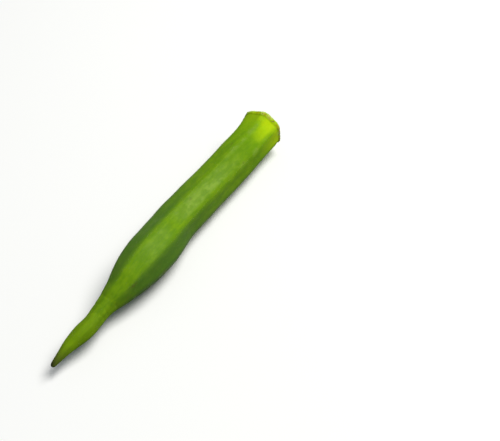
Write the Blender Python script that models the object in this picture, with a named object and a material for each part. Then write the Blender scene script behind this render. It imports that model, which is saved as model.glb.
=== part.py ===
"""A fresh okra pod lying on its side, with its stalk cut.

The pod is one solid: seven soft ridges with flat faces between them run from a narrow beak with a blunt tip,
through a plump body, to a flared shoulder. A thin raised ring marks where the flower sat. Beyond it a short
ridged cap closes the pod, and the cut stub of the stalk stands in its middle.
Metres, +Z up, +X from the tip to the stalk. One flat face lies on the surface that carries the pod.
"""

from math import atan, cos, pi, sin, sqrt, tan

import bmesh
import bpy
from mathutils import Vector

# Lengths along the pod
BODY_LENGTH = 0.1389
CAP_LENGTH = 0.0047
STUB_LENGTH = 0.0014

# Ridges and the faces between them, and the turn that the faces' uneven widths give the ridges at the top
RIDGES = 7
TOP_TURN = 0.108
RIDGE_ROUNDING = 0.52
BEAK_ROUNDING = 0.75
BEAK_END = 0.026
BEAK_BLEND = 0.030
SHOULDER_ROUNDING = 0.45
SHOULDER_BLEND = 0.010

# Radius over the ridges, at distances from the tip
TIP_ROUNDING = 0.0011
BODY_RADII = (
    (0.000, 0.00080),
    (0.0049, 0.00157),
    (0.0098, 0.00250),
    (0.0147, 0.00317),
    (0.0205, 0.00309),
    (0.0274, 0.00364),
    (0.0332, 0.00510),
    (0.0418, 0.00744),
    (0.0506, 0.00882),
    (0.0594, 0.00898),
    (0.0674, 0.00858),
    (0.0774, 0.00846),
    (0.0874, 0.00849),
    (0.0984, 0.00846),
    (0.1164, 0.00871),
    (0.1284, 0.00865),
    (0.1389, 0.00933),
)

# Sideways bend of the centre line, at distances from the tip
CENTRE_LINE = (
    (0.000, -0.00125),
    (0.0078, -0.00174),
    (0.0166, -0.00310),
    (0.0264, -0.00273),
    (0.0353, -0.00357),
    (0.0462, -0.00365),
    (0.0594, -0.00321),
    (0.0714, -0.00184),
    (0.0854, -0.00213),
    (0.1064, -0.00300),
    (0.1264, -0.00354),
    (0.1389, -0.00378),
    (0.1454, -0.00310),
)

# Twist of the ridges towards both ends, away from the stretch that lies flat
TIP_TWIST = -0.15
TIP_TWIST_LENGTH = 0.026
CAP_TWIST = 0.14
CAP_TWIST_LENGTH = 0.045

# How the pod lies: where its underside is level, and how far the beak, the tip and the ring lift off
REST_START = 0.077
REST_END = 0.107
TIP_LIFT = 0.0010
BEAK_LIFT = 0.0034
BEAK_LIFT_START = 0.058
BEAK_LIFT_LENGTH = 0.034
RING_LIFT = 0.00120
FLAT_TOLERANCE = 0.00003

# The raised ring, the cap and the stub
RING_HEIGHT = 0.00035
RING_HALF_WIDTH = 0.0011
CAP_TOP_RADIUS = 0.0092
CAP_BULGE = 1.2
STUB_RADIUS = 0.0035
STUB_EDGE = 0.0003

# Spacing of the cross-sections
BODY_SECTIONS = 46
TIP_SECTIONS = (0.08, 0.30, 0.65)
RING_SECTIONS = (-1.0, -0.5, 0.0, 0.5, 1.0)
CAP_SECTIONS = (0.22, 0.42, 0.60, 0.76, 0.90, 1.0)

# Stretch over which the centre line's direction is taken, and the angle from which an edge is sharp
DIRECTION_STEP = 0.0005
SHARP_ANGLE = pi / 4

SKIN_COLOUR = (0.150, 0.330, 0.012, 1.0)
SKIN_ROUGHNESS = 0.42


def smooth_curve(points, at):
    """Value at a distance on the Catmull-Rom curve through (distance, value) points."""
    last = len(points) - 1
    index = 0
    while index < last - 1 and at > points[index + 1][0]:
        index += 1

    def slope(i):
        low, high = max(i - 1, 0), min(i + 1, last)
        return (points[high][1] - points[low][1]) / (points[high][0] - points[low][0])

    start, end = points[index], points[index + 1]
    gap = end[0] - start[0]
    t = (at - start[0]) / gap
    square, cube = t * t, t * t * t
    return (
        (2 * cube - 3 * square + 1) * start[1]
        + (cube - 2 * square + t) * gap * slope(index)
        + (3 * square - 2 * cube) * end[1]
        + (cube - square) * gap * slope(index + 1)
    )


def ramp(value):
    """Smooth step from 0 to 1."""
    t = min(max(value, 0.0), 1.0)
    return t * t * (3 - 2 * t)


def body_radius(at):
    """Radius over the ridges between the tip and the ring, without the ring itself."""
    radius = smooth_curve(BODY_RADII, at)
    if at < TIP_ROUNDING:
        radius *= sqrt(1 - (1 - at / TIP_ROUNDING) ** 2)
    return radius


def ridge_radius(at):
    """Radius over the ridges anywhere from the tip to the end of the stub."""
    if at <= BODY_LENGTH:
        smooth = body_radius(at)
    elif at < BODY_LENGTH + CAP_LENGTH:
        t = (at - BODY_LENGTH) / CAP_LENGTH
        smooth = STUB_RADIUS + (CAP_TOP_RADIUS - STUB_RADIUS) * (1 - t**CAP_BULGE)
    else:
        smooth = STUB_RADIUS
    from_ring = (at - BODY_LENGTH) / RING_HALF_WIDTH
    return smooth + RING_HEIGHT * max(0.0, 1 - from_ring**2)


def rounding(at):
    """Radius of a ridge's rounding, as a share of the radius over the ridges."""
    beak = ramp((BEAK_END + BEAK_BLEND - at) / BEAK_BLEND)
    shoulder = ramp((at - BODY_LENGTH + SHOULDER_BLEND) / SHOULDER_BLEND)
    share = RIDGE_ROUNDING + (BEAK_ROUNDING - RIDGE_ROUNDING) * beak
    return share + (SHOULDER_ROUNDING - RIDGE_ROUNDING) * shoulder


def reach(radius, round_share, off_face=0.0):
    """How far a cross-section reaches from its centre, square to a flat face or at an angle off that."""
    edge = radius * round_share
    return (radius - edge) * cos(pi / RIDGES - abs(off_face)) + edge


def section_outline(radius, round_share):
    """Polar points of one cross-section: flat faces joined by round ridges, the first face straight down."""
    half_turn = pi / RIDGES
    edge = radius * round_share
    face = reach(radius, round_share)
    face_end = atan((face - edge) * tan(half_turn) / face)
    to_edge_centre = radius - edge
    points = []
    for ridge in range(RIDGES):
        middle = -pi / 2 + 2 * half_turn * ridge
        edge_angle = (face_end + half_turn) / 2
        for angle in (-edge_angle, -face_end, 0.0, face_end, edge_angle, half_turn):
            off_ridge = half_turn - abs(angle)
            if off_ridge < half_turn - face_end:
                sideways = to_edge_centre * sin(off_ridge)
                distance = to_edge_centre * cos(off_ridge) + sqrt(edge**2 - sideways**2)
            else:
                distance = face / cos(angle)
            points.append((middle + angle, distance))
    return points


def twist(at):
    """Turn of the ridges about the centre line, nil along the stretch that lies flat."""
    before = TIP_TWIST * ramp((REST_START - at) / TIP_TWIST_LENGTH)
    after = CAP_TWIST * ramp((at - REST_END) / CAP_TWIST_LENGTH)
    return before + after


def centre(at):
    """Point of the centre line, as high as the face or ridge below it needs, with the beak and the ring clear."""
    carried = min(at, BODY_LENGTH)
    height = reach(smooth_curve(BODY_RADII, carried), rounding(carried), twist(carried))
    height += TIP_LIFT * ramp((REST_START - carried) / REST_START)
    height += BEAK_LIFT * ramp((BEAK_LIFT_START - carried) / BEAK_LIFT_LENGTH)
    height += RING_LIFT * max(0.0, (carried - REST_END) / (BODY_LENGTH - REST_END)) ** 2
    return Vector((at, smooth_curve(CENTRE_LINE, at), height))


def sections():
    """Distances from the tip at which the cross-sections stand."""
    ring_start = BODY_LENGTH - RING_HALF_WIDTH
    ring_end = BODY_LENGTH + RING_HALF_WIDTH
    cap_end = BODY_LENGTH + CAP_LENGTH
    step = (ring_start - TIP_ROUNDING) / BODY_SECTIONS
    found = [share * TIP_ROUNDING for share in TIP_SECTIONS]
    found += [TIP_ROUNDING + step * i for i in range(BODY_SECTIONS)]
    found += [BODY_LENGTH + share * RING_HALF_WIDTH for share in RING_SECTIONS]
    found += [ring_end + share * (cap_end - ring_end) for share in CAP_SECTIONS]
    found.append(cap_end + STUB_LENGTH - STUB_EDGE)
    found.append(cap_end + STUB_LENGTH)
    return found


def section_points(at):
    """World points of one cross-section, square to the centre line."""
    along = (centre(at + DIRECTION_STEP) - centre(at - DIRECTION_STEP)).normalized()
    side = Vector((0, 0, 1)).cross(along).normalized()
    up = along.cross(side)
    radius = ridge_radius(at)
    if at >= BODY_LENGTH + CAP_LENGTH + STUB_LENGTH:
        radius -= STUB_EDGE
    points = []
    for angle, distance in section_outline(radius, rounding(at)):
        turned = angle + TOP_TURN * (1 + sin(angle)) / 2 + twist(at)
        offset = side * (distance * cos(turned)) + up * (distance * sin(turned))
        points.append(centre(at) + offset)
    return points


def pod_mesh():
    """Closed skin through all cross-sections, with a point at the tip and a flat cut face on the stub."""
    model = bmesh.new()
    loops = [[model.verts.new(p) for p in section_points(at)] for at in sections()]
    count = len(loops[0])
    for near, far in zip(loops, loops[1:]):
        for i in range(count):
            j = (i + 1) % count
            model.faces.new((near[i], far[i], far[j], near[j]))
    tip = model.verts.new(centre(0.0))
    for i in range(count):
        model.faces.new((tip, loops[0][i], loops[0][(i + 1) % count]))
    model.faces.new(loops[-1])
    bmesh.ops.recalc_face_normals(model, faces=model.faces)
    return model


def settle(model):
    """Presses the lowest face flat and puts the origin under the middle of the pod."""
    lowest = min(v.co.z for v in model.verts)
    for v in model.verts:
        v.co.z -= lowest
        if v.co.z < FLAT_TOLERANCE:
            v.co.z = 0.0
    for axis in (0, 1):
        values = [v.co[axis] for v in model.verts]
        middle = (min(values) + max(values)) / 2
        for v in model.verts:
            v.co[axis] -= middle


def skin_material():
    """Green skin of the pod."""
    material = bpy.data.materials.new("pod_skin")
    material.use_nodes = True
    shader = material.node_tree.nodes["Principled BSDF"]
    shader.inputs["Base Color"].default_value = SKIN_COLOUR
    shader.inputs["Roughness"].default_value = SKIN_ROUGHNESS
    shader.inputs["Metallic"].default_value = 0.0
    return material


def build_pod():
    """The pod as one named object."""
    model = pod_mesh()
    settle(model)
    mesh = bpy.data.meshes.new("okra_pod")
    model.to_mesh(mesh)
    model.free()
    mesh.shade_smooth()
    mesh.set_sharp_from_angle(angle=SHARP_ANGLE)
    mesh.materials.append(skin_material())
    pod = bpy.data.objects.new("okra_pod", mesh)
    bpy.context.scene.collection.objects.link(pod)
    return pod


for old in list(bpy.data.objects):
    bpy.data.objects.remove(old)

build_pod()
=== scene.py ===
"""A fresh okra pod lying on its side on a pale floor, seen from above its narrow end.

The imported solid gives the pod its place. Over it come a finer skin with its creases and seed swellings, the
fibrous cut of the stalk, the dry shreds along the ring where the flower sat, and the short hairs of the skin.
"""

import logging
from dataclasses import dataclass, field
from enum import Enum
from math import cos, pi, radians, sin, tan
from typing import Any, Sequence

import bpy
import numpy as np
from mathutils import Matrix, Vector

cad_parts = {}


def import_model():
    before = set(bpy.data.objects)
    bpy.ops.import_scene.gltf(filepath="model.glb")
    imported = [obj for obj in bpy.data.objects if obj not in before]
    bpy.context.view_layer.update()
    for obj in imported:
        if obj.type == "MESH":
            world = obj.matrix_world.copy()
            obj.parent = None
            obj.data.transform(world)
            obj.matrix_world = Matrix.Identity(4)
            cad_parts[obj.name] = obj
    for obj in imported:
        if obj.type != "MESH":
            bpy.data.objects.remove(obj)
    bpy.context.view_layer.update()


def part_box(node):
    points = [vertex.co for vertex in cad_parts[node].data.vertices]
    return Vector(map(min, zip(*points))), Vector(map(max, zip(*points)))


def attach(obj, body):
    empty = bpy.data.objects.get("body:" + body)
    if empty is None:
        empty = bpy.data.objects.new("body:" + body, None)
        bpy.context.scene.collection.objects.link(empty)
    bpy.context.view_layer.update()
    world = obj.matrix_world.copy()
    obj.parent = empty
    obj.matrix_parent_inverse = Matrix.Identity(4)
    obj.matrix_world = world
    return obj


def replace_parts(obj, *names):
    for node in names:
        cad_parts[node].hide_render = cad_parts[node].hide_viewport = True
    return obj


log = logging.getLogger("okra_pod")

Colour = tuple[float, float, float]
Range = tuple[float, float]
Curve = Sequence[tuple[float, float]]
Stops = Sequence[tuple[float, Colour]]
Faces = list[tuple[int, ...]]
Socket = bpy.types.NodeSocket

MM = 0.001
POD_NODE = "okra_pod"

# Names of the values stored on the meshes
PLACE = "grown_place"
ALONG = "along_mm"
CREST = "crest"
# Painted light at each place on the skin and at the ring, from 0 for painted shade to 1 for a painted highlight
PAINTED_LIGHT = "face_painted_light"
PAINTED_LIGHT_AT_RING = "face_painted_light_at_ring"

# Numbers of a colour mix node's sockets, which share their names with those of its other kinds
MIX_FIRST, MIX_SECOND, MIX_RESULT = 6, 7, 2


def smooth_curve(points: Curve, at: np.ndarray) -> np.ndarray:
    """Reads a Catmull-Rom curve through (distance, value) points.

    Args:
        points: the points, in rising order of distance.
        at: distances to read the curve at.

    Returns:
        The value at each distance.
    """
    places, values = np.array(points).T
    slopes = np.empty_like(values)
    slopes[1:-1] = (values[2:] - values[:-2]) / (places[2:] - places[:-2])
    slopes[0] = (values[1] - values[0]) / (places[1] - places[0])
    slopes[-1] = (values[-1] - values[-2]) / (places[-1] - places[-2])
    index = np.searchsorted(places[1:-1], at)
    gap = places[index + 1] - places[index]
    t = (at - places[index]) / gap
    square, cube = t * t, t * t * t
    return (
        (2 * cube - 3 * square + 1) * values[index]
        + (cube - 2 * square + t) * gap * slopes[index]
        + (3 * square - 2 * cube) * values[index + 1]
        + (cube - square) * gap * slopes[index + 1]
    )


def ramp(value: np.ndarray) -> np.ndarray:
    """Smooth step from 0 to 1."""
    t = np.clip(value, 0.0, 1.0)
    return t * t * (3 - 2 * t)


def bump_at(value: np.ndarray, middle: float, half_width: float) -> np.ndarray:
    """Bell of height 1 round a middle value."""
    return np.exp(-(((value - middle) / half_width) ** 2))


def unit(vectors: np.ndarray) -> np.ndarray:
    """Vectors along the last axis, each made one long."""
    return vectors / np.linalg.norm(vectors, axis=-1, keepdims=True)


# -------- Shape of the pod --------


@dataclass
class PodForm:
    """Main shape of the pod: seven ridges with flat faces along a bent centre line, all in metres.

    A place on the skin is given by its distance from the tip and by its place round the pod in ridges. There,
    whole numbers are the middles of faces, halves are crests, and 0 is the face that lies on the floor.
    """

    body_length: float = 0.1389
    cap_length: float = 0.0047
    stub_length: float = 0.0014
    ridges: int = 7
    # Painted light of each face along the body and at the ring: 0 for painted shade on faces turned from the light,
    # 1 for a painted highlight
    painted_light_of_faces: tuple[float, ...] = (0.35, 0.80, 0.30, 0.12, 1.00, 0.00, 0.00)
    painted_light_of_faces_at_ring: tuple[float, ...] = (0.35, 0.80, 0.30, 0.16, 1.00, 0.68, 0.50)
    light_blend_start: float = 0.24
    light_blend_width: float = 0.52
    top_turn: float = 0.108
    ridge_rounding: float = 0.52
    beak_rounding: float = 0.75
    beak_end: float = 0.026
    beak_blend: float = 0.030
    shoulder_rounding: float = 0.45
    shoulder_blend: float = 0.010
    tip_rounding: float = 0.0011
    body_radii: Curve = (
        (0.000, 0.00080),
        (0.0049, 0.00157),
        (0.0098, 0.00250),
        (0.0147, 0.00317),
        (0.0205, 0.00309),
        (0.0274, 0.00364),
        (0.0332, 0.00510),
        (0.0418, 0.00744),
        (0.0506, 0.00882),
        (0.0594, 0.00898),
        (0.0674, 0.00858),
        (0.0774, 0.00846),
        (0.0874, 0.00849),
        (0.0984, 0.00846),
        (0.1164, 0.00871),
        (0.1284, 0.00865),
        (0.1389, 0.00933),
    )
    centre_line: Curve = (
        (0.000, -0.00125),
        (0.0078, -0.00174),
        (0.0166, -0.00310),
        (0.0264, -0.00273),
        (0.0353, -0.00357),
        (0.0462, -0.00365),
        (0.0594, -0.00321),
        (0.0714, -0.00184),
        (0.0854, -0.00213),
        (0.1064, -0.00300),
        (0.1264, -0.00354),
        (0.1389, -0.00378),
        (0.1454, -0.00310),
    )
    tip_twist: float = -0.15
    tip_twist_length: float = 0.026
    cap_twist: float = 0.14
    cap_twist_length: float = 0.045
    rest_start: float = 0.077
    rest_end: float = 0.107
    beak_lift: float = 0.0034
    beak_lift_start: float = 0.058
    beak_lift_length: float = 0.034
    tip_lift: float = 0.0010
    ring_lift: float = 0.00120
    ring_height: float = 0.00035
    ring_half_width: float = 0.0011
    cap_top_radius: float = 0.0092
    cap_bulge: float = 1.2
    stub_radius: float = 0.0035
    direction_step: float = 0.0005
    measured_rows: int = 600
    measured_columns: int = 281
    shift: np.ndarray = field(default_factory=lambda: np.zeros(3))

    @property
    def cap_end(self) -> float:
        """Distance of the stub's foot from the tip."""
        return self.body_length + self.cap_length

    @property
    def length(self) -> float:
        """Whole length from the tip to the cut."""
        return self.cap_end + self.stub_length

    def ridge_radius(self, at: np.ndarray) -> np.ndarray:
        """Radius over the ridges at distances from the tip."""
        body = smooth_curve(self.body_radii, np.minimum(at, self.body_length))
        into_tip = np.clip(1 - at / self.tip_rounding, 0.0, 1.0)
        body = body * np.sqrt(1 - into_tip**2)
        t = np.clip((at - self.body_length) / self.cap_length, 0.0, 1.0)
        cap = self.stub_radius + (self.cap_top_radius - self.stub_radius) * (1 - t**self.cap_bulge)
        smooth = np.where(at <= self.body_length, body, cap)
        from_ring = (at - self.body_length) / self.ring_half_width
        return smooth + self.ring_height * np.maximum(0.0, 1 - from_ring**2)

    def rounding(self, at: np.ndarray) -> np.ndarray:
        """Radius of a ridge's rounding, as a share of the radius over the ridges."""
        beak = ramp((self.beak_end + self.beak_blend - at) / self.beak_blend)
        shoulder = ramp((at - self.body_length + self.shoulder_blend) / self.shoulder_blend)
        share = self.ridge_rounding + (self.beak_rounding - self.ridge_rounding) * beak
        return share + (self.shoulder_rounding - self.ridge_rounding) * shoulder

    def reach(self, radius: np.ndarray, share: np.ndarray, off_face: np.ndarray | float = 0.0) -> np.ndarray:
        """How far a cross-section reaches from its centre, square to a flat face or at an angle off that."""
        edge = radius * share
        return (radius - edge) * np.cos(pi / self.ridges - np.abs(off_face)) + edge

    def outline(self, radius: np.ndarray, share: np.ndarray, around: np.ndarray) -> np.ndarray:
        """Distance of the skin from the centre: flat faces joined by round ridges.

        Args:
            radius: radius over the ridges.
            share: the ridges' rounding as a share of that radius.
            around: place round the pod, in ridges.

        Returns:
            The distance at each place.
        """
        half_turn = pi / self.ridges
        edge = radius * share
        face = self.reach(radius, share)
        face_end = np.arctan((face - edge) * tan(half_turn) / face)
        off_face = np.abs((around + 0.5) % 1.0 - 0.5) * 2 * half_turn
        off_ridge = half_turn - off_face
        sideways = (radius - edge) * np.sin(off_ridge)
        on_edge = (radius - edge) * np.cos(off_ridge) + np.sqrt(np.maximum(edge**2 - sideways**2, 0.0))
        return np.where(off_face > face_end, on_edge, face / np.cos(off_face))

    def turn(self, at: np.ndarray) -> np.ndarray:
        """Twist of the ridges about the centre line, nil along the stretch that lies flat."""
        before = self.tip_twist * ramp((self.rest_start - at) / self.tip_twist_length)
        after = self.cap_twist * ramp((at - self.rest_end) / self.cap_twist_length)
        return before + after

    def centre(self, at: np.ndarray) -> np.ndarray:
        """Points of the centre line, as high as the skin below needs, with the beak and the ring clear."""
        carried = np.minimum(at, self.body_length)
        height = self.reach(smooth_curve(self.body_radii, carried), self.rounding(carried), self.turn(carried))
        height = height + self.tip_lift * ramp((self.rest_start - carried) / self.rest_start)
        height = height + self.beak_lift * ramp((self.beak_lift_start - carried) / self.beak_lift_length)
        past_rest = np.maximum(0.0, carried - self.rest_end) / (self.body_length - self.rest_end)
        height = height + self.ring_lift * past_rest**2
        return np.stack((at, smooth_curve(self.centre_line, at), height), axis=-1)

    def directions(self, at: np.ndarray) -> tuple[np.ndarray, np.ndarray, np.ndarray]:
        """Unit vectors along the centre line, sideways and up at distances from the tip."""
        step = self.direction_step
        along = unit(self.centre(at + step) - self.centre(at - step))
        side = unit(np.cross(np.array((0.0, 0.0, 1.0)), along))
        return along, side, np.cross(along, side)

    def angle(self, at: np.ndarray, around: np.ndarray) -> np.ndarray:
        """Angle about the centre line of places on the skin."""
        angle = 2 * pi * around / self.ridges - pi / 2
        return angle + self.top_turn * (1 + np.sin(angle)) / 2 + self.turn(at)

    def outward(self, at: np.ndarray, around: np.ndarray) -> np.ndarray:
        """Unit vectors from the centre line through places on the skin."""
        _, side, up = self.directions(at)
        angle = self.angle(at, around)[..., None]
        return side * np.cos(angle) + up * np.sin(angle)

    def skin(self, at: np.ndarray, around: np.ndarray, lift: np.ndarray | float = 0.0) -> np.ndarray:
        """Points on or over the skin.

        Args:
            at: distances from the tip.
            around: places round the pod, in ridges.
            lift: height over the main shape.

        Returns:
            The points, with x, y and z along the last axis.
        """
        distance = self.outline(self.ridge_radius(at), self.rounding(at), around) + lift
        return self.centre(at) + self.outward(at, around) * distance[..., None] + self.shift

    def face_painted_light(self, around: np.ndarray, of_faces: tuple[float, ...]) -> np.ndarray:
        """Painted light from 0, for painted shade, to 1, for a painted highlight, at places on the skin.

        Args:
            around: places round the pod, in ridges.
            of_faces: each face's painted light.

        Returns:
            The painted light, which changes over the crest between two faces.
        """
        face_lights = np.array(of_faces)
        face = np.floor(around + 0.5).astype(int)
        off_middle = around - face
        beyond = face_lights[(face + np.sign(off_middle).astype(int)) % self.ridges]
        share = ramp((np.abs(off_middle) - self.light_blend_start) / self.light_blend_width)
        return face_lights[face % self.ridges] * (1 - share) + beyond * share

    def grown(self, at: np.ndarray, around: np.ndarray, radius: np.ndarray) -> np.ndarray:
        """Places in millimetres on the pod as if it had grown straight, for patterns that follow its growth."""
        angle = 2 * pi * around / self.ridges
        return np.stack((radius * np.cos(angle), radius * np.sin(angle), at + 0 * around), axis=-1) / MM

    def place_in(self, low: Vector, high: Vector) -> None:
        """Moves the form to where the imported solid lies, given by its lowest and highest corners."""
        rows = np.linspace(0.0, self.length, self.measured_rows)
        columns = np.linspace(0.0, self.ridges, self.measured_columns)
        at, around = np.meshgrid(rows, columns, indexing="ij")
        points = self.skin(at, around).reshape(-1, 3)
        middle = (points.min(0) + points.max(0)) / 2
        wanted = (np.array(low) + np.array(high)) / 2
        self.shift = self.shift + wanted - middle
        self.shift[2] += middle[2] - wanted[2] + low[2] - points[:, 2].min()


@dataclass(frozen=True)
class Relief:
    """Small relief of the skin over the main shape, in metres."""

    crest_height: float = 0.00010
    crest_width: float = 0.055
    hollow_depth: float = 0.00004
    flare_gain: float = 1.6
    flare_length: float = 0.014
    seed_height: float = 0.00006
    seed_spacing: float = 0.0041
    seed_place: float = 0.24
    seed_width: float = 0.12
    seed_start: float = 0.046
    seed_fade_in: float = 0.020
    seed_end_gap: float = 0.008
    seed_fade_out: float = 0.012
    wave_height: float = 0.00006
    wave_count: int = 14
    wave_lengths: Range = (0.007, 0.030)
    wave_turns: int = 8
    wave_size: float = 5
    fold_depth: float = 0.00015
    fold_width: float = 0.00045
    fold_bend: float = 0.0006
    fold_places: tuple[float, ...] = (0.0215, 0.0245, 0.0292)
    ring_roughness: float = 0.00012
    groove_depth: float = 0.00022
    groove_place: float = 0.0011
    groove_width: float = 0.00030
    rib_height: float = 0.00012
    ribs: int = 28
    knob_height: float = 0.00022
    knobs: int = 9
    fillet_height: float = 0.00075
    fillet_width: float = 0.00075
    full_radius: float = 0.0080
    body_fade: float = 0.006
    seed: int = 11

    def waves(self, at: np.ndarray, around: np.ndarray, ridges: int) -> np.ndarray:
        """Slow unevenness of growth, between about -1 and 1."""
        rng = np.random.default_rng(self.seed)
        total = np.zeros(np.broadcast(at, around).shape)
        for _ in range(self.wave_count):
            length = rng.uniform(*self.wave_lengths)
            turns = rng.integers(0, self.wave_turns)
            shift_along, shift_around = rng.uniform(0, 2 * pi, 2)
            wave = np.sin(2 * pi * at / length + shift_along)
            total += wave * np.cos(2 * pi * turns * around / ridges + shift_around)
        return total / self.wave_size

    def seeds(self, at: np.ndarray, around: np.ndarray, form: PodForm) -> np.ndarray:
        """Soft swellings over the rows of seeds on both sides of each ridge, from 0 to about 1."""
        rng = np.random.default_rng(self.seed + 1)
        starts = rng.uniform(0, 1, form.ridges * 2)
        count = int(form.length / self.seed_spacing) + 2
        sizes = rng.uniform(0.2, 1.0, (form.ridges * 2, count))
        off_crest = around % 1.0 - 0.5
        row = (np.floor(around).astype(int) % form.ridges) * 2 + (off_crest > 0)
        step = at / self.seed_spacing + starts[row]
        size = sizes[row, np.clip(np.floor(step).astype(int), 0, count - 1)]
        across = bump_at(np.abs(off_crest), self.seed_place, self.seed_width)
        seed_end = form.body_length - self.seed_end_gap
        there = ramp((at - self.seed_start) / self.seed_fade_in) * ramp((seed_end - at) / self.seed_fade_out)
        return size * np.sin(pi * (step % 1.0)) ** 2 * across * there

    def lift(self, at: np.ndarray, around: np.ndarray, form: PodForm) -> np.ndarray:
        """Height of the relief.

        Args:
            at: distances from the tip.
            around: places round the pod, in ridges.
            form: the main shape under the relief.

        Returns:
            The height over the main shape at each place.
        """
        waves = self.waves(at, around, form.ridges)
        angle = 2 * pi * around / form.ridges
        body = self.body(at, around, waves, form) - self.folds(at, angle)
        return body + self.ring(at, angle, form) + self.cap(at, angle, waves, form)

    def body(self, at: np.ndarray, around: np.ndarray, waves: np.ndarray, form: PodForm) -> np.ndarray:
        """Crests with hollows between them, slow waves and seed swellings, all of which end at the ring."""
        thick = np.clip(form.ridge_radius(at) / self.full_radius, 0.0, 1.0)
        off_crest = np.abs(around % 1.0 - 0.5)
        flare = 1 + self.flare_gain * ramp((at - form.body_length + self.flare_length) / self.flare_length)
        crest = self.crest_height * bump_at(off_crest, 0.0, self.crest_width) * (0.7 + 0.3 * waves) * flare
        hollow = self.hollow_depth * np.cos(pi * np.clip(off_crest * 2, 0, 1)) * 0.5 * flare**2
        seeds = self.seed_height * self.seeds(at, around, form)
        body = (crest + hollow + self.wave_height * waves) * thick + seeds
        return body * ramp((form.body_length - at) / self.body_fade)

    def folds(self, at: np.ndarray, angle: np.ndarray) -> np.ndarray:
        """Depth of the creases round the waist."""
        folds = np.zeros(np.broadcast(at, angle).shape)
        for number, place in enumerate(self.fold_places):
            bent = at + self.fold_bend * np.sin(angle + number * 2.1)
            folds += bump_at(bent, place, self.fold_width) * (0.6 + 0.4 * np.sin(angle * (2 + number) + number))
        return self.fold_depth * folds

    def ring(self, at: np.ndarray, angle: np.ndarray, form: PodForm) -> np.ndarray:
        """Fibres on the ring, and the groove beyond it."""
        over = (at - form.body_length) / form.ring_half_width
        fibres = 0.5 * np.sin(23 * angle + 1.3) + 0.3 * np.sin(41 * angle) + 0.4 * np.sin(9 * angle + 0.4)
        groove_at = form.body_length + self.groove_place + 0.00015 * np.sin(5 * angle)
        groove = self.groove_depth * bump_at(at, groove_at, self.groove_width)
        return self.ring_roughness * fibres * np.maximum(0.0, 1 - over**2) - groove

    def cap(self, at: np.ndarray, angle: np.ndarray, waves: np.ndarray, form: PodForm) -> np.ndarray:
        """Ribs of the cap, the fillet at the stub's foot and the knobs round the stub."""
        on_cap = ramp((at - form.body_length - 0.0012) / 0.0015)
        ribs = self.rib_height * on_cap * (0.6 * np.cos(self.ribs * angle + 0.8 * waves) + 0.5 * waves)
        fillet = self.fillet_height * bump_at(at, form.cap_end, self.fillet_width)
        on_stub = ramp((at - form.cap_end + 0.0010) / 0.0010)
        knobs = self.knob_height * on_stub * (np.cos(self.knobs * angle + 1.1) + 0.6 * np.cos(16 * angle + 2.3))
        return ribs + fillet + knobs


# -------- Shader building --------


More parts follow.
